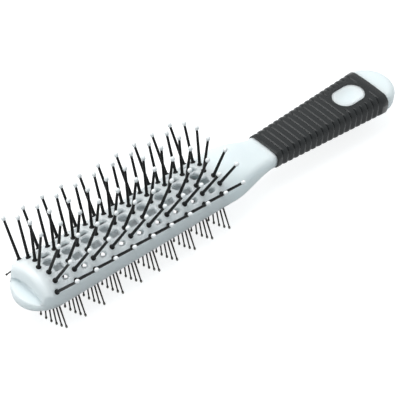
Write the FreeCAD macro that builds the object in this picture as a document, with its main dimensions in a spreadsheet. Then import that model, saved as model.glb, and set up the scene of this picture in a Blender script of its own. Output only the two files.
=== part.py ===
"""A two-sided vent brush: a hollow white frame, long pins above, short bristles below, a ribbed grip.

The brush lies along X, head to the left and handle end to the right. Y runs across it, Z is up.
X = 0 is half way along the overall length, and Z = 0 is the level of the lowest bristle ends.
"""
import FreeCAD
import Part
import Sketcher
import math
import os

os.makedirs("parts", exist_ok=True)
doc = FreeCAD.newDocument("vent_brush")
sheet = doc.addObject("Spreadsheet::Sheet", "Sizes")

SIZES = {
    # overall
    "overall_length": 225.0,
    "crown_height": 26.0,
    # head section
    "crown_radius": 16.8,
    "crown_half_width": 12.9,
    "head_half_width": 14.1,
    "side_foot_height": 14.1,
    "belly_radius": 26.0,
    "shoulder_round": 3.2,
    "keel_round": 0.9,
    "crown_wall": 2.0,
    # head along its length
    "crown_end_inset": 4.6,
    "crown_end_round": 3.0,
    "head_length": 111.0,
    # lip and scoop at the tip
    "lip_height": 16.0,
    "tip_plan_radius": 14.2,
    "lip_edge_round": 0.7,
    "scoop_floor_height": 14.9,
    "scoop_arch_height": 19.0,
    "scoop_arch_radius": 14.6,
    "scoop_rim": 1.3,
    "scoop_depth": 2.2,
    "scoop_round": 1.1,
    # base plate
    "plate_thickness": 1.7,
    "plate_half_width": 12.4,
    "plate_tip_inset": 7.0,
    "plate_end_inset": 1.5,
    "plate_corner_round": 4.5,
    "plate_clearance": 0.1,
    "plate_ledge": 1.3,
    # cross rows, shared by pins, bristles and vents
    "cross_rows": 10,
    "row_pitch": 10.5,
    "first_row_inset": 10.2,
    # long pins
    "pin_angle_step": 15.0,
    "inner_pin_tilt": 13.8,
    "middle_pin_tilt": 24.8,
    "outer_pin_tilt": 36.2,
    "pin_stagger": 1.84,
    "pin_length": 17.9,
    "pin_root_radius": 0.7,
    "pin_end_radius": 0.58,
    "pin_collar_radius": 1.2,
    "pin_collar_height": 0.5,
    "bead_radius": 1.0,
    "bead_length": 2.3,
    # short bristles
    "bristles_per_row": 13,
    "bristle_angle_step": 5.47,
    "bristle_tip_radius": 35.9,
    "bristle_root_radius": 0.5,
    "bristle_end_radius": 0.42,
    # vents
    "oval_vent_length": 5.2,
    "oval_vent_width": 3.9,
    "window_vent_length": 4.9,
    "window_vent_width": 3.2,
    "window_vent_corner": 0.6,
    "side_vent_length": 3.6,
    "side_vent_width": 2.2,
    "side_vent_angle": 33.0,
    "belly_vent_radius": 1.9,
    # neck
    "neck_length": 32.3,
    "neck_middle_inset": 19.5,
    "neck_middle_half_width": 10.8,
    "neck_middle_half_height": 5.4,
    "neck_middle_level": 16.6,
    "neck_step": 0.5,
    # grip and handle core
    "grip_front_half_width": 9.5,
    "grip_front_half_height": 4.5,
    "grip_front_level": 15.3,
    "grip_front_round": 3.2,
    "grip_rear_half_width": 12.9,
    "grip_rear_half_height": 6.1,
    "grip_rear_level": 14.0,
    "grip_rear_round": 4.4,
    "grip_camber": 0.6,
    "grip_wall": 1.9,
    "first_groove_inset": 4.0,
    "last_groove_inset": 4.9,
    "groove_pitch": 3.545,
    "groove_width": 1.3,
    "groove_depth": 0.6,
    "groove_side_depth": 1.4,
    # thumb window and its dished pad
    "window_inset": 26.9,
    "window_length": 17.4,
    "window_width": 11.4,
    "window_clearance": 0.1,
    "window_rim": 1.6,
    "window_rim_rise": 0.15,
    "pad_sink": 0.1,
    "dish_depth": 1.4,
    "dish_margin": 1.0,
    # rounded handle end
    "end_step": 0.5,
}

for number, (name, value) in enumerate(SIZES.items(), start=1):
    sheet.set("A%d" % number, name)
    sheet.set("B%d" % number, str(value))
    sheet.setAlias("B%d" % number, name)
doc.recompute()


def size(name):
    """Read one driving dimension back from the sheet."""
    return float(getattr(sheet, name))


V = FreeCAD.Vector
X_AXIS = V(1, 0, 0)
Y_AXIS = V(0, 1, 0)
Z_AXIS = V(0, 0, 1)
NO_TURN = FreeCAD.Rotation()
ALONG_X = FreeCAD.Rotation(Y_AXIS, 90)

TIP_X = -size("overall_length") / 2
HANDLE_END_X = size("overall_length") / 2
CROWN_END_X = TIP_X + size("crown_end_inset")
CROWN_AXIS_Z = size("crown_height") - size("crown_radius")
BELLY_AXIS_Z = size("bristle_tip_radius")
HEAD_END_X = TIP_X + size("head_length")
GRIP_START_X = HEAD_END_X + size("neck_length")
GRIP_END_X = HANDLE_END_X - (size("grip_rear_half_width") - size("end_step"))
ROWS = int(size("cross_rows"))
BRISTLES = int(size("bristles_per_row"))

TIP = "-Sizes.overall_length / 2"
CROWN_END = "Sizes.crown_end_inset - Sizes.overall_length / 2"
FIRST_ROW = "Sizes.first_row_inset - Sizes.overall_length / 2"
HEAD_END = "Sizes.head_length - Sizes.overall_length / 2"
PLATE_TIP = "Sizes.plate_tip_inset - Sizes.overall_length / 2"
PLATE_END = HEAD_END + " - Sizes.plate_end_inset"


def bound(made, **rules):
    """Tie properties of an object to the sheet; two underscores stand for a dot."""
    for where, rule in rules.items():
        made.setExpression(where.replace("__", "."), rule)
    return made


def feature(name, shape):
    """Keep a shape that has been worked out here as an object of the document."""
    made = doc.addObject("Part::Feature", name)
    made.Shape = shape
    return made


def combine(kind, name, base, tool):
    """Cut, fuse or intersect two objects of the document."""
    made = doc.addObject(kind, name)
    made.Base = base
    made.Tool = tool
    doc.recompute()
    return made


def fillet(name, base, radius, wanted):
    """Round the edges of an object that a test picks out."""
    made = doc.addObject("Part::Fillet", name)
    made.Base = base
    edges = [number for number, edge in enumerate(base.Shape.Edges, start=1) if wanted(edge.BoundBox)]
    made.Edges = [(number, radius, radius) for number in edges]
    doc.recompute()
    return made


def cylinder_along_x(name, radius, level):
    """A long cylinder along the brush, its axis at the given height."""
    made = doc.addObject("Part::Cylinder", name)
    made.Placement = FreeCAD.Placement(V(0, 0, 0), ALONG_X)
    bound(made, Radius=radius, Height="2 * Sizes.overall_length",
          Placement__Base__x="-Sizes.overall_length", Placement__Base__z=level)
    return made


def block(name, start, length, half_width, low, height):
    """A box centred across the brush."""
    made = doc.addObject("Part::Box", name)
    bound(made, Length=length, Width="2 * (%s)" % half_width, Height=height,
          Placement__Base__x=start, Placement__Base__y="-(%s)" % half_width, Placement__Base__z=low)
    doc.recompute()
    return made


def upright(box):
    """Whether an edge stands upright."""
    return box.XLength < 1e-6 and box.YLength < 1e-6


def rounded_block(name, start, length, half_width, low, height, corner):
    """A block with its four upright edges rounded."""
    return fillet(name, block(name + "_blank", start, length, half_width, low, height), corner, upright)


# Head blank: a domed section pushed along the brush

SHOULDER_Z = CROWN_AXIS_Z + math.sqrt(size("crown_radius") ** 2 - size("crown_half_width") ** 2)
SIDE_SLOPE = ((size("head_half_width") - size("crown_half_width"))
              / (SHOULDER_Z - size("side_foot_height")))


def side_y(height):
    """Half width of the head's side wall at a height."""
    return size("crown_half_width") + (SHOULDER_Z - height) * SIDE_SLOPE


def dome_body(name, start, length):
    """The head's section, a crown arc over two leaning sides, as a sketch and a pad."""
    body = doc.addObject("PartDesign::Body", name)
    section = body.newObject("Sketcher::SketchObject", name + "_section")
    plane = [item for item in body.Origin.OriginFeatures if item.Role == "YZ_Plane"][0]
    section.AttachmentSupport = [(plane, "")]
    section.MapMode = "FlatFace"
    section.setExpression("AttachmentOffset.Base.z", start)
    half = size("crown_half_width")
    lean = math.asin((SHOULDER_Z - CROWN_AXIS_Z) / size("crown_radius"))
    crown = Part.Circle(V(0, CROWN_AXIS_Z, 0), Z_AXIS, size("crown_radius"))
    section.addGeometry(Part.ArcOfCircle(crown, lean, math.pi - lean), False)
    section.addGeometry(Part.LineSegment(V(half, SHOULDER_Z, 0), V(side_y(0), 0, 0)), False)
    section.addGeometry(Part.LineSegment(V(side_y(0), 0, 0), V(-side_y(0), 0, 0)), False)
    section.addGeometry(Part.LineSegment(V(-side_y(0), 0, 0), V(-half, SHOULDER_Z, 0)), False)
    section.addGeometry(Part.Point(V(size("head_half_width"), size("side_foot_height"), 0)), True)
    for first, end, second, start_of in ((0, 1, 1, 1), (1, 2, 2, 1), (2, 2, 3, 1), (3, 2, 0, 2)):
        section.addConstraint(Sketcher.Constraint("Coincident", first, end, second, start_of))
    section.addConstraint(Sketcher.Constraint("Symmetric", 0, 1, 0, 2, -2))
    section.addConstraint(Sketcher.Constraint("Symmetric", 2, 1, 2, 2, -2))
    section.addConstraint(Sketcher.Constraint("PointOnObject", 2, 1, -1))
    section.addConstraint(Sketcher.Constraint("PointOnObject", 4, 1, 1))
    driven = (
        (Sketcher.Constraint("Radius", 0, size("crown_radius")), "Sizes.crown_radius"),
        (Sketcher.Constraint("DistanceY", -1, 1, 0, 3, CROWN_AXIS_Z),
         "Sizes.crown_height - Sizes.crown_radius"),
        (Sketcher.Constraint("DistanceX", 0, 2, 0, 1, 2 * half), "2 * Sizes.crown_half_width"),
        (Sketcher.Constraint("DistanceX", -1, 1, 4, 1, size("head_half_width")), "Sizes.head_half_width"),
        (Sketcher.Constraint("DistanceY", -1, 1, 4, 1, size("side_foot_height")),
         "Sizes.side_foot_height"),
    )
    for constraint, rule in driven:
        section.setExpression("Constraints[%d]" % section.addConstraint(constraint), rule)
    pad = body.newObject("PartDesign::Pad", name + "_pad")
    pad.Profile = section
    pad.setExpression("Length", length)
    doc.recompute()
    return body, pad


def body_fillet(body, name, base, radius_name, wanted):
    """Round edges of a body's last feature."""
    made = body.newObject("PartDesign::Fillet", name)
    edges = [number for number, edge in enumerate(base.Shape.Edges, start=1) if wanted(edge.BoundBox)]
    made.Base = (base, ["Edge%d" % number for number in edges])
    made.setExpression("Radius", "Sizes." + radius_name)
    doc.recompute()
    return made


crown_body, crown_pad = dome_body("crown_block", CROWN_END,
                                  "Sizes.head_length - Sizes.crown_end_inset")
shoulders = body_fillet(crown_body, "crown_shoulders", crown_pad, "shoulder_round",
                        lambda box: box.XLength > 20 and abs(box.ZMin - SHOULDER_Z) < 1e-3)
body_fillet(crown_body, "crown_end_rounding", shoulders, "crown_end_round",
            lambda box: box.XLength < 1e-6 and abs(box.XMin - CROWN_END_X) < 1e-6 and box.ZMax > 1)

lip_body, lip_pad = dome_body("lip_block", TIP, "Sizes.crown_end_inset + 12")


def tip_plan(name, inset, low, height):
    """An upright block with the round plan of the tip, drawn in by an inset."""
    blank = block(name + "_blank", TIP + " + " + inset, "Sizes.head_length + 10",
                  "Sizes.tip_plan_radius + 0.05 - " + inset, low, height)
    front_x = blank.Shape.BoundBox.XMin
    radius = blank.Shape.BoundBox.YMax - 0.05
    return fillet(name, blank, radius, lambda box: upright(box) and abs(box.XMin - front_x) < 1e-6)


lip_plan = tip_plan("lip_plan", "0", "1", "Sizes.lip_height - 1")
lip_blank = combine("Part::Common", "lip_blank", lip_body, lip_plan)

belly = cylinder_along_x("belly", "Sizes.belly_radius", "Sizes.bristle_tip_radius")
crown_cut = combine("Part::Common", "crown_cut", crown_body, belly)
crown_keeled = fillet("crown_keeled", crown_cut, size("keel_round"),
                      lambda box: (box.XLength > 20 and box.ZMax < size("side_foot_height") + 0.2
                                   and abs(box.YMin) > 5))
crown = combine("Part::Common", "crown", crown_keeled,
                tip_plan("crown_plan", "0", "1", "Sizes.crown_height"))
lip_cut = combine("Part::Common", "lip_cut", lip_blank, belly)
LIP_BACK_X = CROWN_END_X + 12
lip_keel = fillet("lip_keel", lip_cut, size("keel_round"),
                  lambda box: (box.ZMax < size("side_foot_height") + 0.2
                               and box.XMin < LIP_BACK_X - 1e-3))
lip = fillet("lip", lip_keel, size("lip_edge_round"),
             lambda box: (abs(box.ZMin - size("lip_height")) < 1e-3
                          and abs(box.ZMax - size("lip_height")) < 1e-3
                          and box.XMin < LIP_BACK_X - 1e-3))
head_fused = combine("Part::Fuse", "head_fused", crown, lip)
head_blank = feature("head_blank", head_fused.Shape.removeSplitter())

# Scoop under the crown's end, with a flat floor behind a thin rim

scoop_arch = doc.addObject("Part::Cylinder", "scoop_arch")
scoop_arch.Placement = FreeCAD.Placement(V(0, 0, 0), ALONG_X)
bound(scoop_arch, Radius="Sizes.scoop_arch_radius",
      Height="Sizes.crown_end_inset + Sizes.scoop_depth",
      Placement__Base__x=TIP, Placement__Base__z="Sizes.scoop_arch_height - Sizes.scoop_arch_radius")
scoop_plan = tip_plan("scoop_plan", "Sizes.scoop_rim", "Sizes.scoop_floor_height", "40")
scoop_blank = combine("Part::Common", "scoop_blank", scoop_arch, scoop_plan)
SCOOP_BACK_X = CROWN_END_X + size("scoop_depth")
scoop = fillet("scoop", scoop_blank, size("scoop_round"),
               lambda box: box.XLength < 1e-6 and abs(box.XMin - SCOOP_BACK_X) < 1e-6)

# Hollow inside the head, open below, with a ledge that carries the base plate

CAVITY_START = PLATE_TIP + " + Sizes.plate_ledge"
CAVITY_LENGTH = "%s - Sizes.plate_ledge - (%s)" % (PLATE_END, CAVITY_START)
cavity_plan = rounded_block("cavity_plan", CAVITY_START, CAVITY_LENGTH,
                            "Sizes.plate_half_width - Sizes.plate_ledge", "0",
                            "Sizes.crown_height", size("plate_corner_round") - size("plate_ledge"))
cavity_vault = cylinder_along_x("cavity_vault", "Sizes.crown_radius - Sizes.crown_wall",
                                "Sizes.crown_height - Sizes.crown_radius")
cavity_lower = block("cavity_lower", "-Sizes.overall_length", "2 * Sizes.overall_length",
                     "Sizes.plate_half_width", "0", "Sizes.crown_height - Sizes.crown_radius + 5")
cavity_section = combine("Part::Fuse", "cavity_section", cavity_vault, cavity_lower)
cavity = combine("Part::Common", "cavity", cavity_section, cavity_plan)

plate_seat = cylinder_along_x("plate_seat", "Sizes.belly_radius - Sizes.plate_thickness",
                              "Sizes.bristle_tip_radius")
pocket_plan = rounded_block("pocket_plan", PLATE_TIP + " - Sizes.plate_clearance",
                            "%s + 2 * Sizes.plate_clearance - (%s)" % (PLATE_END, PLATE_TIP),
                            "Sizes.plate_half_width + Sizes.plate_clearance", "0",
                            "Sizes.crown_height - Sizes.crown_wall",
                            size("plate_corner_round") + size("plate_clearance"))
pocket = combine("Part::Cut", "plate_pocket", pocket_plan, plate_seat)


# Vents, cut square to the crown between the cross rows

def row_x(index):
    """X of a cross row, counted from the head's tip."""
    return TIP_X + size("first_row_inset") + index * size("row_pitch")


def vent_prism(length, width, corner, x, angle):
    """An upright rounded bar through the crown, turned about the crown's axis."""
    low = CROWN_AXIS_Z + size("crown_radius") - size("crown_wall") - 2.5
    bar = Part.makeBox(length, width, size("crown_wall") + 4.5, V(x - length / 2, -width / 2, low))
    bar = bar.makeFillet(corner, [edge for edge in bar.Edges if upright(edge.BoundBox)])
    bar.rotate(V(0, 0, CROWN_AXIS_Z), X_AXIS, angle)
    return bar


vent_bars = []
for index in range(ROWS - 1):
    middle_x = row_x(index) + size("row_pitch") / 2
    vent_bars.append(vent_prism(size("oval_vent_length"), size("oval_vent_width"),
                                0.49 * size("oval_vent_width"), middle_x, 0))
    for side in (-1, 1):
        vent_bars.append(vent_prism(size("window_vent_length"), size("window_vent_width"),
                                    size("window_vent_corner"), middle_x + size("pin_stagger"),
                                    side * size("pin_angle_step")))
        vent_bars.append(vent_prism(size("side_vent_length"), size("side_vent_width"),
                                    0.45 * size("side_vent_width"), middle_x + size("pin_stagger"),
                                    side * size("side_vent_angle")))
vents = feature("vents", Part.Compound(vent_bars))

head_open = combine("Part::Cut", "head_scooped", head_blank, scoop)
head_open = combine("Part::Cut", "head_hollowed", head_open, cavity)
head_open = combine("Part::Cut", "head_seated", head_open, pocket)
head = combine("Part::Cut", "head", head_open, vents)


# Neck and handle core: rounded sections joined along the handle

def rounded_section(x, half_width, half_height, level, camber, round_radius):
    """A flat oval section: two cambered sides, two upright sides and four rounded corners."""
    top = level + half_height - camber
    foot = level - half_height + camber
    upper = Part.Arc(V(x, -half_width, top), V(x, 0, level + half_height), V(x, half_width, top))
    lower = Part.Arc(V(x, half_width, foot), V(x, 0, level - half_height), V(x, -half_width, foot))
    right = Part.LineSegment(V(x, half_width, top), V(x, half_width, foot))
    left = Part.LineSegment(V(x, -half_width, foot), V(x, -half_width, top))
    outline = Part.Wire([piece.toShape() for piece in (upper, right, lower, left)])
    bar = Part.Face(outline).extrude(V(1, 0, 0))
    bar = bar.makeFillet(round_radius, [edge for edge in bar.Edges
                                        if edge.BoundBox.YLength < 1e-6 and edge.BoundBox.ZLength < 1e-6])
    face = [item for item in bar.Faces
            if item.BoundBox.XLength < 1e-6 and abs(item.BoundBox.XMin - x) < 1e-3][0]
    return face.OuterWire


def grip_section(x, inset, side_inset=None):
    """The grip's section at a place along it, drawn in from its outside by a wall."""
    if side_inset is None:
        side_inset = inset
    share = (x - GRIP_START_X) / (GRIP_END_X - GRIP_START_X)

    def between(part):
        return size("grip_front_" + part) * (1 - share) + size("grip_rear_" + part) * share

    return rounded_section(x, between("half_width") - side_inset, between("half_height") - inset,
                           between("level"), size("grip_camber"),
                           between("round") - 0.6 * inset)


def shifted(wire, distance):
    """A copy of a section, moved along the brush."""
    copy = wire.copy()
    copy.translate(V(distance, 0, 0))
    return copy


head_end_face = [face for face in head_blank.Shape.Faces
                 if face.BoundBox.XLength < 1e-6 and abs(face.BoundBox.XMin - HEAD_END_X) < 1e-3][0]
neck_sections = [
    head_end_face.OuterWire,
    shifted(head_end_face.OuterWire, 3.0),
    rounded_section(HEAD_END_X + size("neck_middle_inset"), size("neck_middle_half_width"),
                    size("neck_middle_half_height"), size("neck_middle_level"),
                    1.5 * size("grip_camber"), size("grip_front_round")),
    shifted(grip_section(GRIP_START_X, size("neck_step")), -2.0),
    grip_section(GRIP_START_X, size("neck_step")),
]
neck = feature("neck", Part.makeLoft(neck_sections, True, False))
core = feature("handle_core", Part.makeLoft([grip_section(GRIP_START_X, size("grip_wall")),
                                             grip_section(GRIP_END_X, size("grip_wall"))], True, True))

# Rounded end: half of the end section turned about an upright axis

end_face = Part.Face(grip_section(GRIP_END_X, size("end_step")))
half_plane = Part.makeBox(4, 60, 60, V(GRIP_END_X - 2, 0, -20))
half_face = end_face.common(half_plane)
turned = half_face.revolve(V(GRIP_END_X, 0, 0), Z_AXIS, -180)
handle_end = feature("handle_end", turned)


# Thumb window: a round-ended slot through the rubber, filled by a dished pad on the core

WINDOW_X = HANDLE_END_X - size("window_inset")


def slot_prism(margin, low, high):
    """An upright round-ended bar at the thumb window, wider than the window by a margin all round."""
    radius = size("window_width") / 2 + margin
    reach = (size("window_length") - size("window_width")) / 2
    rear = Part.Arc(V(WINDOW_X + reach, -radius, low), V(WINDOW_X + reach + radius, 0, low),
                    V(WINDOW_X + reach, radius, low))
    front = Part.Arc(V(WINDOW_X - reach, radius, low), V(WINDOW_X - reach - radius, 0, low),
                     V(WINDOW_X - reach, -radius, low))
    far = Part.LineSegment(V(WINDOW_X + reach, radius, low), V(WINDOW_X - reach, radius, low))
    near = Part.LineSegment(V(WINDOW_X - reach, -radius, low), V(WINDOW_X + reach, -radius, low))
    outline = Part.Wire([piece.toShape() for piece in (rear, far, front, near)])
    return Part.Face(outline).extrude(V(0, 0, high - low))


window = feature("window", slot_prism(0, size("grip_rear_level"), size("crown_height")))
pad_cover = Part.makeLoft([grip_section(GRIP_START_X, size("pad_sink")),
                           grip_section(GRIP_END_X, size("pad_sink"))], True, True)
pad_bar = slot_prism(-size("window_clearance"), size("grip_rear_level"), size("crown_height"))
pad_blank = feature("pad_blank", pad_cover.common(pad_bar))
PAD_TOP_Z = pad_blank.Shape.BoundBox.ZMax
dish = doc.addObject("Part::Ellipsoid", "dish")
DISH_BOWL = 4.0
DISH_SPREAD = math.sqrt(1 - ((DISH_BOWL - size("dish_depth")) / DISH_BOWL) ** 2)
dish.Placement = FreeCAD.Placement(V(WINDOW_X, 0, PAD_TOP_Z + DISH_BOWL - size("dish_depth")), NO_TURN)
dish.Radius1 = DISH_BOWL
dish.Radius2 = (size("window_length") / 2 - size("dish_margin")) / DISH_SPREAD
dish.Radius3 = (size("window_width") / 2 - size("dish_margin")) / DISH_SPREAD
doc.recompute()

handle = feature("handle", core.Shape.fuse([neck.Shape, handle_end.Shape, pad_blank.Shape]))
dished = combine("Part::Cut", "handle_dished", handle, dish)
frame = combine("Part::Fuse", "frame", head, dished)

# Base plate, curved like the belly, pierced between the cross rows

plate_tube = combine("Part::Cut", "plate_tube",
                     cylinder_along_x("plate_outside", "Sizes.belly_radius", "Sizes.bristle_tip_radius"),
                     cylinder_along_x("plate_inside", "Sizes.belly_radius - Sizes.plate_thickness",
                                      "Sizes.bristle_tip_radius"))
plate_plan = rounded_block("plate_plan", PLATE_TIP, "%s - (%s)" % (PLATE_END, PLATE_TIP),
                           "Sizes.plate_half_width", "0", "Sizes.crown_height - Sizes.crown_wall",
                           size("plate_corner_round"))
plate_blank = combine("Part::Common", "plate_blank", plate_tube, plate_plan)
belly_vents = doc.addObject("Part::MultiFuse", "belly_vents")
belly_vent_bars = []
for index in range(ROWS - 1):
    vent = doc.addObject("Part::Cylinder", "belly_vent_%02d" % (index + 1))
    bound(vent, Radius="Sizes.belly_vent_radius", Height="Sizes.crown_height",
          Placement__Base__x="%s + %s * Sizes.row_pitch" % (FIRST_ROW, index + 0.5))
    belly_vent_bars.append(vent)
belly_vents.Shapes = belly_vent_bars
doc.recompute()
base_plate = combine("Part::Cut", "base_plate", plate_blank, belly_vents)


# Pins, beads and bristles: six-sided tapering bars

def hexagon(distance, radius):
    """A six-sided outline square to the bar's length."""
    corners = [V(radius * math.cos(math.radians(60 * turn)), radius * math.sin(math.radians(60 * turn)),
                 distance) for turn in range(7)]
    return Part.makePolygon(corners)


def tapered_bar(stations):
    """A ruled bar through hexagons, given as distance and radius."""
    return Part.makeLoft([hexagon(distance, radius) for distance, radius in stations], True, True)


def set_up(shape, x, y, z, lean):
    """Stand a bar at a point, leaning sideways by an angle from straight up."""
    copy = shape.copy()
    copy.rotate(V(0, 0, 0), X_AXIS, -lean)
    copy.translate(V(x, y, z))
    return copy


pin_bar = tapered_bar([(-0.6, size("pin_collar_radius")), (0.1, size("pin_collar_radius")),
                       (size("pin_collar_height"), size("pin_root_radius")),
                       (size("pin_length"), size("pin_end_radius"))])
bead_bar = tapered_bar([(size("pin_length"), 0.6 * size("bead_radius")),
                        (size("pin_length") + 0.3 * size("bead_length"), size("bead_radius")),
                        (size("pin_length") + 0.7 * size("bead_length"), size("bead_radius")),
                        (size("pin_length") + size("bead_length"), 0.5 * size("bead_radius"))])
bristle_length = size("bristle_tip_radius") - size("belly_radius")
bristle_bar = tapered_bar([(-0.4, size("bristle_root_radius")), (bristle_length, size("bristle_end_radius"))])

crown_solid = Part.makeCylinder(size("crown_radius"), 40, V(-20, 0, CROWN_AXIS_Z), X_AXIS)
tilts = [0, size("inner_pin_tilt"), size("middle_pin_tilt"), size("outer_pin_tilt")]
pins = []
beads = []
for column in range(-3, 4):
    place = math.radians(column * size("pin_angle_step"))
    tilt = math.copysign(tilts[abs(column)], column)
    stagger = size("pin_stagger") if abs(column) in (1, 2) else 0
    spot = (stagger, size("crown_radius") * math.sin(place),
            CROWN_AXIS_Z + size("crown_radius") * math.cos(place), tilt)
    pins.append(set_up(pin_bar, *spot).cut(crown_solid))
    beads.append(set_up(bead_bar, *spot))

bristles = []
middle_x = row_x(ROWS // 2)
for number in range(BRISTLES):
    lean = (number - (BRISTLES - 1) / 2) * size("bristle_angle_step")
    turn = math.radians(lean)
    root = size("belly_radius")
    bristle = set_up(bristle_bar, middle_x, root * math.sin(turn), BELLY_AXIS_Z - root * math.cos(turn),
                     180 - lean).cut(head_blank.Shape)
    bristle.translate(V(-middle_x, 0, 0))
    bristles.append(bristle)

rows = []
for group, shapes in (("pin_row", pins), ("pin_beads", beads), ("bristle_row", bristles)):
    for index in range(ROWS):
        row = feature("%s_%02d" % (group, index + 1), Part.Compound([shape.copy() for shape in shapes]))
        row.setExpression("Placement.Base.x", "%s + %d * Sizes.row_pitch" % (FIRST_ROW, index))
        rows.append(row)

# Grip: a rubber sleeve, grooved all round and deepest at its sides, open at the thumb window

grooved_length = GRIP_END_X - GRIP_START_X - size("first_groove_inset") - size("last_groove_inset")
stations = [(GRIP_START_X, 0, 0)]
for index in range(1 + int(grooved_length / size("groove_pitch"))):
    groove_x = GRIP_START_X + size("first_groove_inset") + index * size("groove_pitch")
    stations.append((groove_x - size("groove_width") / 2, 0, 0))
    stations.append((groove_x, size("groove_depth"), size("groove_side_depth")))
    stations.append((groove_x + size("groove_width") / 2, 0, 0))
stations.append((GRIP_END_X, 0, 0))
sleeve = feature("sleeve", Part.makeLoft([grip_section(*station) for station in stations], True, True))
rim_cover = Part.makeLoft([grip_section(GRIP_START_X, -size("window_rim_rise")),
                           grip_section(GRIP_END_X, -size("window_rim_rise"))], True, True)
rim_bar = slot_prism(size("window_rim"), size("grip_rear_level"), size("crown_height"))
window_rim = feature("window_rim", rim_cover.common(rim_bar))
rimmed = combine("Part::Fuse", "sleeve_rimmed", sleeve, window_rim)
sleeve_cut = combine("Part::Cut", "sleeve_hollow", rimmed, core)
grip = combine("Part::Cut", "grip", sleeve_cut, window)

# Naming, checking and writing

doc.recompute()
pieces = [("frame", frame), ("base_plate", base_plate), ("grip", grip)]
pieces += [(row.Name, row) for row in rows]
for name, piece in pieces:
    piece.Label = name

for item in doc.Objects:
    if "Invalid" in item.State or "Error" in item.State:
        raise RuntimeError("%s did not build" % item.Name)
for name, piece in pieces:
    if piece.Shape.isNull() or not piece.Shape.isValid():
        raise RuntimeError("%s is not a valid solid" % name)
    print(name, len(piece.Shape.Solids), "solids", round(piece.Shape.Volume, 2), "mm3")
for name, piece in pieces:
    piece.Shape.exportStep(os.path.join("parts", name + ".step"))
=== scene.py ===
"""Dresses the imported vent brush: smooth mouldings, pins, beads, bristles, ribbed rubber and the stage."""

import math

import bmesh
import bpy
from mathutils import Matrix, Vector


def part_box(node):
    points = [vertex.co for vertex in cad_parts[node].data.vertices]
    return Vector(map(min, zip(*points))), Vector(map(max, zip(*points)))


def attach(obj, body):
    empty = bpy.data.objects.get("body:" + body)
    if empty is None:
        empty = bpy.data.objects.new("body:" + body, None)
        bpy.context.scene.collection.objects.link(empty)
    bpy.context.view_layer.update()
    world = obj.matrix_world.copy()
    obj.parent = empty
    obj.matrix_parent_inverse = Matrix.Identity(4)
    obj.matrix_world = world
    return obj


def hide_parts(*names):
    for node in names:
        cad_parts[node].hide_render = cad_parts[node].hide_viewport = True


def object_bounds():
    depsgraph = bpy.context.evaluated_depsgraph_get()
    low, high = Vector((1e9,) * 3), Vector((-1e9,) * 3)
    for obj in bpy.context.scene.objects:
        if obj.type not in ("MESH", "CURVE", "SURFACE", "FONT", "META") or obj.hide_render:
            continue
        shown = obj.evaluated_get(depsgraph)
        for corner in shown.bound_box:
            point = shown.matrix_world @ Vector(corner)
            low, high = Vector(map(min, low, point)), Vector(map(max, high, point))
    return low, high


bl_info = {
    "name": "Vent Brush Dressing",
    "version": (1, 0, 0),
    "blender": (4, 5, 0),
    "location": "View3D > Sidebar > Vent Brush",
    "description": "Builds the visible pieces and finishes of a two-sided vent brush",
    "category": "Object",
}

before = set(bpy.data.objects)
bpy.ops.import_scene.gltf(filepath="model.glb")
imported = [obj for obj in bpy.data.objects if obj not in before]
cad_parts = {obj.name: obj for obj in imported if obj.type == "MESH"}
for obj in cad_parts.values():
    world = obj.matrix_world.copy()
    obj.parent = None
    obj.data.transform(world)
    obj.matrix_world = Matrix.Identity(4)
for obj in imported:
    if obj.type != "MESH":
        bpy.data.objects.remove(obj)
CAD_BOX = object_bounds()
MM = 0.001

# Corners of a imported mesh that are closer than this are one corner
WELD = 0.0001 * MM
# Edges that turn by more degrees than this stay sharp
MOULDING_EDGE = 32
BAR_EDGE = 50
GRIP_EDGE = 38

# Each column of pins: turn about the crown's axis and lean in degrees, and its share of the stagger
PIN_COLUMNS = ((0, 0, 0), (15, 13.8, 1), (30, 24.8, 1), (45, 36.2, 0))
# Bristles on each side of the middle one, and the turn from one to the next in degrees
BRISTLES_A_SIDE = 6
BRISTLE_TURN = 5.47
# How deep pins and bristles are rooted under the surface
PIN_FOOT = 0.35 * MM
BRISTLE_FOOT = 0.1 * MM
# Sides of a turned bar
PIN_SIDES = 14
BRISTLE_SIDES = 10
# Bends of a turned bar: a share of its length, and the share of its widest radius there
PIN_START = (0, 0.97)
BEAD_BENDS = ((0, 0.6), (0.07, 0.76), (0.18, 0.9), (0.36, 1.0), (0.56, 0.99), (0.74, 0.86), (0.88, 0.62),
              (0.965, 0.34), (1, 0.12))
BRISTLE_TIP_BENDS = ((0.89, 0.86), (0.925, 1.0), (0.955, 0.97), (0.985, 0.7), (1, 0.3))
# Bends up the collar: a share of its height, and the share of its radius there
COLLAR_BENDS = ((0, 1.0), (0.55, 0.98), (0.85, 0.88), (1.0, 0.74))
# The bend above the collar: a share of the collar's height, and a share of the stem's radius
FILLET_SHARE = 1.15
FILLET_FLARE = 1.05
# Shares of the length at which a pin's even taper begins and a bristle's ends
STEM_SHARE = 0.12
BRISTLE_NECK_SHARE = 0.84
# Distances from a bristle's end between which the tip's colour comes in
TIP_FADE_START = 1.1 * MM
TIP_FADE_END = 0.4 * MM

# Steps round a quarter of the grip's section, and round each end of the window
SIDE_STEPS = 3
CORNER_STEPS = 8
TOP_STEPS = 20
WINDOW_STEPS = 24
# The sections cut across a groove, as shares of its half width at the sides
GROOVE_SHARES = (-1, -0.8, -0.62, -0.46, -0.32, -0.2, -0.1, 0, 0.1, 0.2, 0.32, 0.46, 0.62, 0.8, 1)
# How a groove deepens towards its middle: 1 is a straight wall, and more rounds the ribs
GROOVE_POWER = 1.1
# The rounded ends of the grip: a distance from the end, and how far the surface draws in there
END_ROUNDING = ((0, 0.3 * MM), (0.1 * MM, 0.1 * MM), (0.3 * MM, 0))
# Slack that keeps a last groove which only just fits
COUNT_SLACK = 0.001
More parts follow.
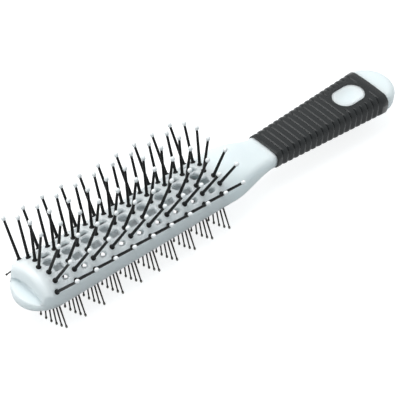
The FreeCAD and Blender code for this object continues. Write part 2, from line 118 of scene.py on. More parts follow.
# Surface that faces up by more than this share belongs to the top, and grooves fade out there to the rim
TOP_RISE = 0.3
RIM_FADE = 0.8 * MM
CUTTER_HEIGHT = 20 * MM

# Size of the clouds in a moulded colour, height of its grain and spread of its roughness
CLOUD_SIZE = 9 * MM
GRAIN_HEIGHT = 0.02 * MM
SHEEN_SPREAD = 0.04
# Red, green and blue scatter alike in the white plastics and the beads
EVEN_SCATTER = (1.0, 1.0, 1.0)
WHITE_ABS = {"IOR": 1.53, "Subsurface Weight": 1.0, "Subsurface Radius": EVEN_SCATTER,
             "Subsurface Scale": 5.0 * MM}

# The camera as it was solved from the photo: its place, where it looks and what lies to its right
CAMERA_PLACE = Vector((-547.8, -465.7, 680.9)) * MM
CAMERA_LOOK = Vector((0.551, 0.475, -0.686))
CAMERA_RIGHT = Vector((0.718, -0.689, 0.099))
# Sensor and lens in millimetres, and the farthest thing seen in metres
CAMERA_SENSOR = 36.0
CAMERA_LENS = 200.9
CAMERA_CLIP = 20
# What the lamps look at, half the floor's side, and how far the floor lies under the brush
LAMP_TARGET = Vector((0, 0, 0.02))
FLOOR_HALF = 3.0
FLOOR_DROP = 0.5 * MM


def linear(hex_colour):
    """One sRGB hex colour as linear red, green, blue and full opacity."""
    parts = [int(hex_colour[index:index + 2], 16) / 255 for index in (0, 2, 4)]
    values = [part / 12.92 if part <= 0.04045 else ((part + 0.055) / 1.055) ** 2.4 for part in parts]
    return (*values, 1.0)


def length(name, description, millimetres):
    """A length property, given in millimetres."""
    return bpy.props.FloatProperty(name=name, description=description, default=millimetres * MM,
                                   unit="LENGTH", precision=5)


def amount(name, description, value, unit="NONE"):
    """A property for a strength or a power."""
    return bpy.props.FloatProperty(name=name, description=description, default=value, min=0, unit=unit)


def colour(name, description, hex_colour):
    """A colour property, given as an sRGB hex colour."""
    return bpy.props.FloatVectorProperty(name=name, description=description, subtype="COLOR", size=4,
                                         min=0, max=1, default=linear(hex_colour))


# Sizes and colours

class HeadSizes(bpy.types.PropertyGroup):
    """Where the pins and bristles stand on the head."""
    crown_radius: length("Crown radius", "Radius of the arched crown", 16.8)
    crown_axis: length("Crown axis height", "Height of the crown's axis", 9.2)
    belly_radius: length("Belly radius", "Radius of the arched underside", 26.0)
    belly_axis: length("Belly axis height", "Height of the underside's axis", 35.9)
    stagger: length("Stagger", "Shift of the inner and middle pins along the head", 1.84)


class PinSizes(bpy.types.PropertyGroup):
    """Sizes and colours of the long pins and their beads."""
    stem_length: length("Stem length", "Length of a pin up to its bead", 17.9)
    root_radius: length("Root radius", "Radius of a stem above its collar", 0.7)
    end_radius: length("End radius", "Radius of a stem under its bead", 0.58)
    collar_radius: length("Collar radius", "Radius of the collar at the root", 1.2)
    collar_height: length("Collar height", "Height of the collar above the crown", 0.45)
    bead_radius: length("Bead radius", "Radius of a bead at its widest", 1.0)
    bead_length: length("Bead length", "Length of a bead along its pin", 2.3)
    stem_colour: colour("Stem colour", "Colour of the pins", "07090a")
    bead_colour: colour("Bead colour", "Colour of the beads", "f8f9f8")


class BristleSizes(bpy.types.PropertyGroup):
    """Sizes and colours of the short bristles."""
    bristle_length: length("Length", "Length of a bristle below the belly", 9.9)
    root_radius: length("Root radius", "Radius of a bristle at the belly", 0.42)
    end_radius: length("End radius", "Radius of a bristle just above its tip", 0.32)
    tip_radius: length("Tip radius", "Radius of the swollen tip", 0.55)
    bristle_colour: colour("Colour", "Colour of the bristles", "1c1713")
    tip_colour: colour("Tip colour", "Colour of the swollen tips", "9a958c")


class GripSizes(bpy.types.PropertyGroup):
    """Sizes and colour of the ribbed rubber grip."""
    front_half_width: length("Front half width", "Half width at the front end", 9.5)
    front_half_height: length("Front half height", "Half height at the front end", 4.5)
    front_level: length("Front level", "Height of the middle at the front end", 15.3)
    front_corner: length("Front corner", "Corner radius at the front end", 3.2)
    rear_half_width: length("Rear half width", "Half width at the rear end", 12.9)
    rear_half_height: length("Rear half height", "Half height at the rear end", 6.1)
    rear_level: length("Rear level", "Height of the middle at the rear end", 14.0)
    rear_corner: length("Rear corner", "Corner radius at the rear end", 4.4)
    camber: length("Camber", "Rise of the top and fall of the underside", 0.6)
    wall: length("Wall", "Thickness of the rubber", 1.9)
    first_groove: length("First groove", "Distance from the front end to the first groove", 4.0)
    groove_pitch: length("Groove pitch", "Distance between grooves", 3.545)
    groove_depth: length("Groove depth", "Depth of a groove on the top", 0.6)
    groove_side_depth: length("Side depth", "Depth of a groove at the sides", 1.4)
    groove_reach: length("Groove reach", "Half width of a groove on the top", 0.5)
    groove_side_reach: length("Side reach", "Half width of a groove at the sides", 1.4)
    last_groove: length("Last groove", "Least distance from the last groove to the rear end", 4.9)
    window_inset: length("Window inset", "Distance from the handle's end to the window's middle", 26.9)
    window_length: length("Window length", "Length of the thumb window", 17.4)
    window_width: length("Window width", "Width of the thumb window", 11.4)
    window_rim: length("Window rim", "Width of the plain rim round the window", 1.6)
    rubber_colour: colour("Rubber colour", "Colour of the grip", "101618")


class StageSettings(bpy.types.PropertyGroup):
    """Colours and strengths of the floor, the room and the lamps."""
    floor_colour: colour("Floor colour", "Colour of the floor as the camera sees it", "ffffff")
    floor_glow: amount("Floor glow", "Brightness that the camera sees in the floor's shadow too", 0.78)
    shade_colour: colour("Shade colour", "Colour of the part of the floor that takes a shadow", "bcbcbc")
    bounce_colour: colour("Bounce colour", "Colour of the floor for the light that bounces", "9a9fa1")
    room_colour: colour("Room colour", "Colour of the light from all around", "e6f0f4")
    room_strength: amount("Room strength", "Strength of the light from all around", 0.66)
    overhead_power: amount("Overhead power", "Power of the lamp overhead", 6.2, "POWER")
    left_power: amount("Left power", "Power of the lamp beyond the brush's tip", 2.2, "POWER")


# Materials

def add_node(tree, kind, settings=None, inputs=None, links=None):
    """Add a node with its settings, fixed inputs and incoming links."""
    node = tree.nodes.new(kind)
    for name, value in (settings or {}).items():
        setattr(node, name, value)
    for name, value in (inputs or {}).items():
        node.inputs[name].default_value = value
    for name, source in (links or {}).items():
        tree.links.new(source, node.inputs[name])
    return node


def find_node(tree, kind):
    """The first node of a kind in a tree."""
    return next(node for node in tree.nodes if node.bl_idname == kind)


def empty_tree(owner):
    """The node tree of a material or a world, emptied."""
    owner.use_nodes = True
    owner.node_tree.nodes.clear()
    return owner.node_tree


def moulded(name, main_colour, shader_values, cloud_share, roughness, grain, relief):
    """A moulded material: a slightly cloudy colour, an uneven sheen and a fine grain."""
    material = bpy.data.materials.new(name)
    tree = empty_tree(material)
    output = add_node(tree, "ShaderNodeOutputMaterial")
    place = add_node(tree, "ShaderNodeTexCoord").outputs["Object"]
    cloud = add_node(tree, "ShaderNodeTexNoise", inputs={"Scale": 1 / CLOUD_SIZE, "Detail": 2.0},
                     links={"Vector": place})
    darker = [part * (1 - cloud_share) for part in main_colour[:3]] + [1.0]
    tint = add_node(tree, "ShaderNodeMix", {"data_type": "RGBA"}, {6: main_colour, 7: darker},
                    {0: cloud.outputs["Fac"]})
    fine = add_node(tree, "ShaderNodeTexNoise", inputs={"Scale": 1 / grain, "Detail": 1.0},
                    links={"Vector": place})
    sheen = add_node(tree, "ShaderNodeMapRange",
                     inputs={"To Min": roughness - SHEEN_SPREAD, "To Max": roughness + SHEEN_SPREAD},
                     links={"Value": fine.outputs["Fac"]})
    bump = add_node(tree, "ShaderNodeBump", inputs={"Strength": relief, "Distance": GRAIN_HEIGHT},
                    links={"Height": fine.outputs["Fac"]})
    shader = add_node(tree, "ShaderNodeBsdfPrincipled", inputs=shader_values,
                      links={"Base Color": tint.outputs[2], "Roughness": sheen.outputs["Result"],
                             "Normal": bump.outputs["Normal"]})
    tree.links.new(shader.outputs["BSDF"], output.inputs["Surface"])
    return material


def soften_edges(material, radius):
    """Let the light catch the edges of a moulding as if they were slightly rounded."""
    tree = material.node_tree
    rounded = add_node(tree, "ShaderNodeBevel", {"samples": 6}, {"Radius": radius})
    tree.links.new(rounded.outputs["Normal"], find_node(tree, "ShaderNodeBump").inputs["Normal"])


def pearl_abs():
    """Pearl-white ABS, injection moulded: satin, cool white, letting some light into the hollow head."""
    material = moulded("pearl_abs", linear("eff7fa"), WHITE_ABS,
                       cloud_share=0.04, roughness=0.36, grain=0.5 * MM, relief=0.15)
    soften_edges(material, radius=1.2 * MM)
    return material


def plate_abs():
    """Plain white ABS on the separate base plate: the same satin, paler, so it lights the hollow head."""
    material = moulded("plate_abs", linear("fbfdfe"), WHITE_ABS,
                       cloud_share=0.04, roughness=0.4, grain=0.5 * MM, relief=0.15)
    soften_edges(material, radius=0.3 * MM)
    return material


def grip_rubber(rubber_colour):
    """Thermoplastic rubber, moulded over the core: near black, its sheen lights the groove walls."""
    return moulded("grip_rubber", rubber_colour, {"IOR": 1.5, "Specular IOR Level": 0.38},
                   cloud_share=0.15, roughness=0.27, grain=0.35 * MM, relief=0.05)


def pin_nylon(stem_colour):
    """Black nylon, moulded smooth: near black, with a narrow soft highlight down each stem."""
    return moulded("pin_nylon", stem_colour, {"IOR": 1.53, "Specular IOR Level": 0.2},
                   cloud_share=0.1, roughness=0.45, grain=0.3 * MM, relief=0.1)


def bead_resin(bead_colour):
    """Dipped resin on the pin ends: a glossy milky white bead."""
    return moulded("bead_resin", bead_colour,
                   {"IOR": 1.5, "Subsurface Weight": 0.6, "Subsurface Radius": EVEN_SCATTER,
                    "Subsurface Scale": 0.6 * MM},
                   cloud_share=0.03, roughness=0.2, grain=0.3 * MM, relief=0.05)


def bristle_nylon(sizes, axis_height, reach):
    """Black nylon bristles whose ends were melted to small rounded tips, which look greyer."""
    material = moulded("bristle_nylon", sizes.bristle_colour[:], {"IOR": 1.53, "Specular IOR Level": 0.3},
                       cloud_share=0.1, roughness=0.42, grain=0.3 * MM, relief=0.1)
    tree = material.node_tree
    shader = find_node(tree, "ShaderNodeBsdfPrincipled")
    place = find_node(tree, "ShaderNodeTexCoord").outputs["Object"]
    across = add_node(tree, "ShaderNodeVectorMath", {"operation": "SUBTRACT"},
                      {1: (0, 0, axis_height)}, {0: place})
    flat = add_node(tree, "ShaderNodeVectorMath", {"operation": "MULTIPLY"}, {1: (0, 1, 1)},
                    {0: across.outputs[0]})
    distance = add_node(tree, "ShaderNodeVectorMath", {"operation": "LENGTH"}, links={0: flat.outputs[0]})
    near_tip = add_node(tree, "ShaderNodeMapRange",
                        inputs={"From Min": reach - TIP_FADE_START, "From Max": reach - TIP_FADE_END},
                        links={"Value": distance.outputs["Value"]})
    body_colour = shader.inputs["Base Color"].links[0].from_socket
    tipped = add_node(tree, "ShaderNodeMix", {"data_type": "RGBA"}, {7: sizes.tip_colour[:]},
                      {0: near_tip.outputs["Result"], 6: body_colour})
    tree.links.new(tipped.outputs[2], shader.inputs["Base Color"])
    return material


# Pieces and meshes

def dress(piece, material, slot_name, *nodes):
    """Give a piece its material and the single body, and hide the nodes it stands for; the slot name is not
    used.
    """
    piece.data.materials.clear()
    piece.data.materials.append(material)
    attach(piece, "root")
    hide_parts(*nodes)


def new_piece(name, data):
    """An object for a mesh, a lamp or a camera, in the scene, at the origin."""
    piece = bpy.data.objects.new(name, data)
    bpy.context.scene.collection.objects.link(piece)
    return piece


def shade_by_angle(mesh, angle, weld=0):
    """Shade a mesh smooth except across edges that turn by more than an angle, welded first if asked."""
    shaped = bmesh.new()
    shaped.from_mesh(mesh)
    if weld:
        bmesh.ops.remove_doubles(shaped, verts=shaped.verts, dist=weld)
    for edge in shaped.edges:
        edge.smooth = len(edge.link_faces) != 2 or edge.calc_face_angle(0) < math.radians(angle)
    for face in shaped.faces:
        face.smooth = True
    shaped.to_mesh(mesh)
    shaped.free()


def evaluated_copy(piece, name):
    """The plain mesh that an object's modifiers make."""
    bpy.context.view_layer.update()
    mesh = bpy.data.meshes.new_from_object(piece.evaluated_get(bpy.context.evaluated_depsgraph_get()))
    mesh.name = name
    return mesh


def outward_mesh(shaped, name):
    """A shape that was built face by face, as a plain mesh whose faces look outwards."""
    bmesh.ops.recalc_face_normals(shaped, faces=shaped.faces)
    mesh = bpy.data.meshes.new(name)
    shaped.to_mesh(mesh)
    shaped.free()
    return mesh


def bridge(shaped, first, second):
    """Join two rings of corners by a band of four-sided faces."""
    for index in range(len(first)):
        following = (index + 1) % len(first)
        shaped.faces.new((first[index], first[following], second[following], second[index]))


def blend(start, end, share):
    """The value at a share of the way from a start to an end."""
    return start * (1 - share) + end * share


# Frame and base plate

def smooth_moulding(node_name, piece_name, material, slot_name):
    """A welded copy of a packed moulding, shaded smooth except across its real edges."""
    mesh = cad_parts[node_name].data.copy()
    mesh.name = piece_name
    if mesh.has_custom_normals:
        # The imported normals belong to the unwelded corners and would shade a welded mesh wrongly
        mesh.attributes.remove(mesh.attributes["custom_normal"])
    shade_by_angle(mesh, MOULDING_EDGE, weld=WELD)
    dress(new_piece(piece_name, mesh), material, slot_name, node_name)


# Pins, beads and bristles

def row_names(group):
    """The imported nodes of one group, row by row."""
    return sorted(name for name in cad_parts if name.startswith(group))


def row_middles():
    """X of each cross row, read from the bristle rows."""
    middles = []
    for name in row_names("bristle_row"):
        low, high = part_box(name)
        middles.append(0.5 * (low.x + high.x))
    return middles


def pin_places(head):
    """Root and direction of every long pin."""
    places = []
    for row_x in row_middles():
        for turn, lean, shift in PIN_COLUMNS:
            for side in ((1,) if turn == 0 else (-1, 1)):
                about = math.radians(side * turn)
                tilt = math.radians(side * lean)
                root = (row_x + shift * head.stagger, head.crown_radius * math.sin(about),
                        head.crown_axis + head.crown_radius * math.cos(about))
                places.append((root, (0, math.sin(tilt), math.cos(tilt))))
    return places


def bristle_places(head):
    """Root and direction of every short bristle."""
    places = []
    for row_x in row_middles():
        for number in range(-BRISTLES_A_SIDE, BRISTLES_A_SIDE + 1):
            about = math.radians(number * BRISTLE_TURN)
            root = (row_x, head.belly_radius * math.sin(about),
                    head.belly_axis - head.belly_radius * math.cos(about))
            places.append((root, (0, math.sin(about), -math.cos(about))))
    return places


def root_points(name, places):
    """Bare points, each with the direction its bar grows in."""
    roots, directions = zip(*places)
    mesh = bpy.data.meshes.new(name)
    mesh.from_pydata(roots, [], [])
    grow = mesh.attributes.new("grow", "FLOAT_VECTOR", "POINT")
    for index, direction in enumerate(directions):
        grow.data[index].vector = direction
    return new_piece(name, mesh)


def share_curve(tree, index_share, shares):
    """A curve that gives one share for each bend, by the bend's number."""
    node = add_node(tree, "ShaderNodeFloatCurve", links={"Value": index_share})
    curve = node.mapping.curves[0]
    step = 1 / (len(shares) - 1)
    curve.points[0].location = (0, shares[0])
    curve.points[1].location = (1, shares[-1])
    for number, share in enumerate(shares[1:-1], start=1):
        curve.points.new(number * step, share)
    for point in curve.points:
        point.handle_type = "VECTOR"
    node.mapping.update()
    return node.outputs["Value"]


def bar_tree(name, sides, bends):
    """A node tree that grows one turned bar from each point of a mesh.

    Each bend gives a share of the bar's length and a share of its widest radius."""
    tree = bpy.data.node_groups.new(name, "GeometryNodeTree")
    face = tree.interface
    face.new_socket("Geometry", in_out="INPUT", socket_type="NodeSocketGeometry")
    for label in ("Start", "Length", "Radius"):
        face.new_socket(label, in_out="INPUT", socket_type="NodeSocketFloat").subtype = "DISTANCE"
    face.new_socket("Material", in_out="INPUT", socket_type="NodeSocketMaterial")
    face.new_socket("Geometry", in_out="OUTPUT", socket_type="NodeSocketGeometry")
    given = add_node(tree, "NodeGroupInput").outputs
    number = add_node(tree, "GeometryNodeInputIndex")
    index_share = add_node(tree, "ShaderNodeMath", {"operation": "DIVIDE"}, {1: len(bends) - 1},
                           {0: number.outputs["Index"]}).outputs[0]
    along = add_node(tree, "ShaderNodeMath", {"operation": "MULTIPLY_ADD"},
                     links={0: share_curve(tree, index_share, [bend[0] for bend in bends]),
                            1: given["Length"], 2: given["Start"]})
    thick = add_node(tree, "ShaderNodeMath", {"operation": "MULTIPLY"},
                     links={0: share_curve(tree, index_share, [bend[1] for bend in bends]),
                            1: given["Radius"]})
    line = add_node(tree, "GeometryNodeCurvePrimitiveLine")
    spaced = add_node(tree, "GeometryNodeResampleCurve", inputs={"Count": len(bends)},
                      links={"Curve": line.outputs["Curve"]})
    height = add_node(tree, "ShaderNodeCombineXYZ", links={"Z": along.outputs[0]})
    bent = add_node(tree, "GeometryNodeSetPosition",
                    links={"Geometry": spaced.outputs["Curve"], "Position": height.outputs[0]})
    ring = add_node(tree, "GeometryNodeCurvePrimitiveCircle", inputs={"Resolution": sides, "Radius": 1.0})
    bar = add_node(tree, "GeometryNodeCurveToMesh", inputs={"Fill Caps": True},
                   links={"Curve": bent.outputs["Geometry"], "Profile Curve": ring.outputs["Curve"],
                          "Scale": thick.outputs[0]})
    grow = add_node(tree, "GeometryNodeInputNamedAttribute", {"data_type": "FLOAT_VECTOR"},
                    {"Name": "grow"})
    turned = add_node(tree, "FunctionNodeAlignRotationToVector", {"axis": "Z"},
                      links={"Vector": grow.outputs["Attribute"]})
    placed = add_node(tree, "GeometryNodeInstanceOnPoints",
                      links={"Points": given["Geometry"], "Instance": bar.outputs["Mesh"],
                             "Rotation": turned.outputs["Rotation"]})
    real = add_node(tree, "GeometryNodeRealizeInstances", links={"Geometry": placed.outputs["Instances"]})
    coloured = add_node(tree, "GeometryNodeSetMaterial",
                        links={"Geometry": real.outputs["Geometry"], "Material": given["Material"]})
    add_node(tree, "NodeGroupOutput", links={"Geometry": coloured.outputs["Geometry"]})
    return tree


def grow_bars(name, places, tree, start, long, radius, material):
    """Grow a bar from each root and keep the result as one plain piece."""
    points = root_points(name + "_roots", places)
    nodes = points.modifiers.new("bars", "NODES")
    nodes.node_group = tree
    values = {"Start": start, "Length": long, "Radius": radius, "Material": material}
    for socket in tree.interface.items_tree:
        if socket.item_type == "SOCKET" and socket.in_out == "INPUT" and socket.name in values:
            nodes[socket.identifier] = values[socket.name]
    mesh = evaluated_copy(points, name)
    bpy.data.objects.remove(points)
    shade_by_angle(mesh, BAR_EDGE)
    return new_piece(name, mesh)


# Rubber grip

def quarter_outline(half_width, half_height, camber, corner):
    """One quarter of a grip section, from the side's middle to the top's middle, with its normals."""
    shoulder = half_width - corner
    corner_height = half_height - camber * (shoulder / half_width) ** 2 - corner
    points = [(half_width, corner_height * step / SIDE_STEPS, 1, 0) for step in range(SIDE_STEPS)]
    for step in range(CORNER_STEPS + 1):
        turn = math.radians(90 * step / CORNER_STEPS)
        points.append((shoulder + corner * math.cos(turn), corner_height + corner * math.sin(turn),
                       math.cos(turn), math.sin(turn)))
    for step in range(1, TOP_STEPS + 1):
        across = shoulder * (1 - step / TOP_STEPS)
        slope = 2 * camber * across / half_width ** 2
        points.append((across, half_height - camber * (across / half_width) ** 2,
                       slope / math.hypot(slope, 1), 1 / math.hypot(slope, 1)))
    return points


def grip_outline(sizes, share):
    """The grip's section at a share of its length: offsets and normals, once round, and its level."""
    def between(part):
        return blend(getattr(sizes, "front_" + part), getattr(sizes, "rear_" + part), share)

    quarter = quarter_outline(between("half_width"), between("half_height"), sizes.camber,
                              between("corner"))
    outline = []
    for side, up, forward in ((1, 1, True), (-1, 1, False), (-1, -1, True), (1, -1, False)):
        part = quarter[:-1] if forward else quarter[:0:-1]
        outline += [(side * y, up * z, side * across, up * rise) for y, z, across, rise in part]
    return outline, between("level")


def ease(value):
    """A smooth step from 0 to 1."""
    value = min(max(value, 0), 1)
    return value * value * (3 - 2 * value)


def window_form(sizes):
    """The round-ended thumb window: X of its middle, half its straight length and its end radius."""
    middle_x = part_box("frame")[1].x - sizes.window_inset
    return middle_x, (sizes.window_length - sizes.window_width) / 2, sizes.window_width / 2


def window_distance(form, x, y):
    """Distance outwards from the edge of the thumb window."""
    middle_x, reach, radius = form
    beyond = max(abs(x - middle_x) - reach, 0)
    return math.hypot(beyond, y) - radius


def grip_mesh(sizes):
    """The sleeve with rounded ribs, deepest at its sides, and a plain rim round the window."""
    low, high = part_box("grip")
    window = window_form(sizes)
    grooved = high.x - low.x - sizes.first_groove - sizes.last_groove
    count = 1 + int(grooved / sizes.groove_pitch + COUNT_SLACK)
    grooves = [low.x + sizes.first_groove + number * sizes.groove_pitch for number in range(count)]
    stations = [(low.x + along, inset) for along, inset in END_ROUNDING]
    for groove_x in grooves:
        stations += [(groove_x + share * sizes.groove_side_reach, 0) for share in GROOVE_SHARES]
    stations += [(high.x - along, inset) for along, inset in reversed(END_ROUNDING)]
    shaped = bmesh.new()
    rings = []
    for x, end_inset in stations:
        outline, level = grip_outline(sizes, (x - low.x) / (high.x - low.x))
        nearest = min(abs(x - groove_x) for groove_x in grooves)
        ring = []
        for y, z, across, rise in outline:
            reach = blend(sizes.groove_reach, sizes.groove_side_reach, abs(across))
            depth = blend(sizes.groove_depth, sizes.groove_side_depth, abs(across))
            inset = depth * max(1 - nearest / reach, 0) ** GROOVE_POWER
            if rise > TOP_RISE:
                clear = window_distance(window, x, y) - sizes.window_rim
                inset *= ease(clear / RIM_FADE)
            inset += end_inset
            ring.append(shaped.verts.new((x, y - across * inset, level + z - rise * inset)))
        rings.append(ring)
    for x in (high.x, low.x):
        outline, level = grip_outline(sizes, (x - low.x) / (high.x - low.x))
        rings.append([shaped.verts.new((x, y - across * sizes.wall, level + z - rise * sizes.wall))
                      for y, z, across, rise in outline])
    for first, second in zip(rings, rings[1:] + rings[:1]):
        bridge(shaped, first, second)
    return outward_mesh(shaped, "rubber_grip")


def window_cutter(sizes):
    """An upright round-ended bar that fills the thumb window."""
    middle_x, reach, radius = window_form(sizes)
    outline = []
    for end in (1, -1):
        for step in range(WINDOW_STEPS + 1):
            turn = math.radians(-90 + 180 * step / WINDOW_STEPS)
            outline.append((middle_x + end * (reach + radius * math.cos(turn)),
                            end * radius * math.sin(turn)))
    shaped = bmesh.new()
    bottom = [shaped.verts.new((x, y, sizes.rear_level)) for x, y in outline]
    top = [shaped.verts.new((x, y, sizes.rear_level + CUTTER_HEIGHT)) for x, y in outline]
    shaped.faces.new(bottom)
    shaped.faces.new(top)
    bridge(shaped, bottom, top)
    return new_piece("window_cutter", outward_mesh(shaped, "window_cutter"))


# Operators, one for each group of pieces

class BRUSH_OT_mouldings(bpy.types.Operator):
    """Dress the white frame and the base plate"""
    bl_idname = "brush.mouldings"
    bl_label = "Frame and base plate"

    def execute(self, context):
        smooth_moulding("frame", "frame_moulding", pearl_abs(), "white_plastic")
        smooth_moulding("base_plate", "base_plate_moulding", plate_abs(), "plate_plastic")
        return {"FINISHED"}


class BRUSH_OT_pins(bpy.types.Operator):
    """Grow the long pins and the beads on their ends"""
    bl_idname = "brush.pins"
    bl_label = "Long pins"

    def execute(self, context):
        sizes = context.scene.brush_pins
        places = pin_places(context.scene.brush_head)
        whole = sizes.stem_length + PIN_FOOT
        root = sizes.root_radius / sizes.collar_radius
        collar = [((PIN_FOOT + share * sizes.collar_height) / whole, radius)
                  for share, radius in (*COLLAR_BENDS, (FILLET_SHARE, root * FILLET_FLARE))]
        taper = [(STEM_SHARE, root), (1, sizes.end_radius / sizes.collar_radius)]
        stem_tree = bar_tree("pin_stem", PIN_SIDES, [PIN_START] + collar + taper)
        black = pin_nylon(sizes.stem_colour[:])
        stems = grow_bars("long_pins", places, stem_tree, -PIN_FOOT, whole, sizes.collar_radius, black)
        dress(stems, black, "pin_nylon", *row_names("pin_row"))
        bead_tree = bar_tree("pin_bead", PIN_SIDES, BEAD_BENDS)
        pale = bead_resin(sizes.bead_colour[:])
        beads = grow_bars("pin_end_beads", places, bead_tree, sizes.stem_length, sizes.bead_length,
                          sizes.bead_radius, pale)
        dress(beads, pale, "bead_resin", *row_names("pin_beads"))
        return {"FINISHED"}


class BRUSH_OT_bristles(bpy.types.Operator):
    """Grow the short bristles under the head"""
    bl_idname = "brush.bristles"
    bl_label = "Short bristles"

    def execute(self, context):
        sizes = context.scene.brush_bristles
        head = context.scene.brush_head
        widest = sizes.tip_radius
        taper = ((0, sizes.root_radius / widest), (BRISTLE_NECK_SHARE, sizes.end_radius / widest))
        tree = bar_tree("bristle_bar", BRISTLE_SIDES, taper + BRISTLE_TIP_BENDS)
        black = bristle_nylon(sizes, head.belly_axis, head.belly_radius + sizes.bristle_length)
        bristles = grow_bars("short_bristles", bristle_places(head), tree, -BRISTLE_FOOT,
                             sizes.bristle_length + BRISTLE_FOOT, widest, black)
        dress(bristles, black, "bristle_nylon", *row_names("bristle_row"))
        return {"FINISHED"}


class BRUSH_OT_grip(bpy.types.Operator):
    """Mould the ribbed rubber grip round its thumb window"""
    bl_idname = "brush.grip"
    bl_label = "Rubber grip"

    def execute(self, context):
        sizes = context.scene.brush_grip
        sleeve = new_piece("sleeve_blank", grip_mesh(sizes))
        cutter = window_cutter(sizes)
        cut = sleeve.modifiers.new("window", "BOOLEAN")
        cut.operation = "DIFFERENCE"
        cut.solver = "EXACT"
        cut.object = cutter
        mesh = evaluated_copy(sleeve, "rubber_grip")
        bpy.data.objects.remove(sleeve)
        bpy.data.objects.remove(cutter)
        shade_by_angle(mesh, GRIP_EDGE)
        dress(new_piece("rubber_grip", mesh), grip_rubber(sizes.rubber_colour[:]), "black_rubber", "grip")
        return {"FINISHED"}


# Stage

def soft_lamp(name, place, width, power):
    """A square area light that looks at the brush."""
    lamp = bpy.data.lights.new(name, "AREA")
    lamp.size = width
    lamp.energy = power
    light = new_piece(name, lamp)
    light.location = place
    light.rotation_euler = (LAMP_TARGET - Vector(place)).to_track_quat("-Z", "Y").to_euler()


def camera_switch(tree, other_rays, seen_rays):
    """Show one shader to the camera and to reflections, and another to the light that bounces."""
    rays = add_node(tree, "ShaderNodeLightPath").outputs
    mirrored = add_node(tree, "ShaderNodeMath", {"operation": "ADD"},
                        links={0: rays["Is Glossy Ray"], 1: rays["Is Transmission Ray"]})
    seen = add_node(tree, "ShaderNodeMath", {"operation": "ADD", "use_clamp": True},
                    links={0: rays["Is Camera Ray"], 1: mirrored.outputs[0]})
    return add_node(tree, "ShaderNodeMixShader",
                    links={0: seen.outputs[0], 1: other_rays, 2: seen_rays}).outputs[0]


def one_sided(tree, card):
    """Let the camera look through the floor from below, so that the underside can be seen."""
    rays = add_node(tree, "ShaderNodeLightPath").outputs
    side = add_node(tree, "ShaderNodeNewGeometry").outputs
    below = add_node(tree, "ShaderNodeMath", {"operation": "MULTIPLY"},
                     links={0: rays["Is Camera Ray"], 1: side["Backfacing"]})
    clear = add_node(tree, "ShaderNodeBsdfTransparent")
    return add_node(tree, "ShaderNodeMixShader",
                    links={0: below.outputs[0], 1: card, 2: clear.outputs[0]}).outputs[0]


def floor_card(settings):
    """White card: the camera sees it even and bright with a faint shadow, and it bounces less light."""
    material = bpy.data.materials.new("floor_card")
    tree = empty_tree(material)
    output = add_node(tree, "ShaderNodeOutputMaterial")
    shaded = add_node(tree, "ShaderNodeBsdfDiffuse", inputs={"Color": settings.shade_colour[:]})
    dim = add_node(tree, "ShaderNodeBsdfDiffuse", inputs={"Color": settings.bounce_colour[:]})
    glow = add_node(tree, "ShaderNodeEmission",
                    inputs={"Color": settings.floor_colour[:], "Strength": settings.floor_glow})
    bright = add_node(tree, "ShaderNodeAddShader", links={0: shaded.outputs[0], 1: glow.outputs[0]})
    card = camera_switch(tree, dim.outputs[0], bright.outputs[0])
    tree.links.new(one_sided(tree, card), output.inputs["Surface"])
    return material


def lay_floor(settings):
    """A wide square of card under the brush."""
    half = FLOOR_HALF
    mesh = bpy.data.meshes.new("floor")
    mesh.from_pydata([(-half, -half, 0), (half, -half, 0), (half, half, 0), (-half, half, 0)], [],
                     [(0, 1, 2, 3)])
    floor = new_piece("floor", mesh)
    floor.location.z = CAD_BOX[0].z - FLOOR_DROP
    floor.data.materials.append(floor_card(settings))


def studio(settings):
    """A room that the camera sees white and that lights the brush softly from all around."""
    world = bpy.data.worlds.new("studio")
    tree = empty_tree(world)
    output = add_node(tree, "ShaderNodeOutputWorld")
    room = add_node(tree, "ShaderNodeBackground",
                    inputs={"Color": settings.room_colour[:], "Strength": settings.room_strength})
    white = add_node(tree, "ShaderNodeBackground", inputs={"Color": linear("ffffff"), "Strength": 1.0})
    tree.links.new(camera_switch(tree, room.outputs[0], white.outputs[0]), output.inputs["Surface"])
    return world


def photo_camera():
    """The camera that sees the brush as the photo does."""
    camera = bpy.data.cameras.new("camera")
    camera.sensor_width = CAMERA_SENSOR
    camera.lens = CAMERA_LENS
    camera.clip_end = CAMERA_CLIP
    eye = new_piece("camera", camera)
    view = CAMERA_LOOK.normalized()
    down = view.cross(CAMERA_RIGHT).normalized()
    right = down.cross(view)
    turn = Matrix((right, -down, -view)).transposed().to_4x4()
    eye.matrix_world = Matrix.Translation(CAMERA_PLACE) @ turn
    return eye


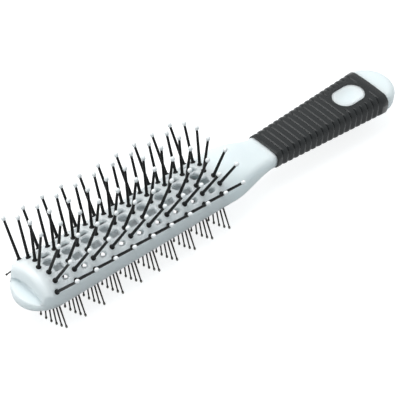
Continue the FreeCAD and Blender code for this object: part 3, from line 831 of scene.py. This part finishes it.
class BRUSH_OT_stage(bpy.types.Operator):
    """Set the floor, the lights, the room and the camera"""
    bl_idname = "brush.stage"
    bl_label = "Stage"

    def execute(self, context):
        scene = context.scene
        settings = scene.brush_stage
        lay_floor(settings)
        scene.world = studio(settings)
        soft_lamp("overhead", place=(-0.15, 0.32, 0.93), width=0.8, power=settings.overhead_power)
        soft_lamp("left_end", place=(-0.85, 0.52, 0.48), width=0.3, power=settings.left_power)
        scene.camera = photo_camera()
        scene.view_settings.view_transform = "Standard"
        return {"FINISHED"}


GROUPS = {"brush_head": HeadSizes, "brush_pins": PinSizes, "brush_bristles": BristleSizes,
          "brush_grip": GripSizes, "brush_stage": StageSettings}
STEPS = (BRUSH_OT_mouldings, BRUSH_OT_pins, BRUSH_OT_bristles, BRUSH_OT_grip, BRUSH_OT_stage)


class BRUSH_PT_panel(bpy.types.Panel):
    """The brush's sizes, colours and building steps"""
    bl_idname = "BRUSH_PT_panel"
    bl_label = "Vent Brush"
    bl_space_type = "VIEW_3D"
    bl_region_type = "UI"
    bl_category = "Vent Brush"

    def draw(self, context):
        for name, group in GROUPS.items():
            box = self.layout.box()
            for size_name in group.__annotations__:
                box.prop(getattr(context.scene, name), size_name)
        for step in STEPS:
            self.layout.operator(step.bl_idname)


def register():
    """Make the sizes, the building steps and the panel known."""
    for name, group in GROUPS.items():
        bpy.utils.register_class(group)
        setattr(bpy.types.Scene, name, bpy.props.PointerProperty(type=group))
    for step in STEPS:
        bpy.utils.register_class(step)
    bpy.utils.register_class(BRUSH_PT_panel)


def unregister():
    """Take the panel, the building steps and the sizes away again."""
    bpy.utils.unregister_class(BRUSH_PT_panel)
    for step in reversed(STEPS):
        bpy.utils.unregister_class(step)
    for name, group in GROUPS.items():
        delattr(bpy.types.Scene, name)
        bpy.utils.unregister_class(group)


def main():
    """Build every piece."""
    register()
    bpy.ops.brush.mouldings()
    bpy.ops.brush.pins()
    bpy.ops.brush.bristles()
    bpy.ops.brush.grip()
    bpy.ops.brush.stage()


if __name__ == "__main__":
    main()
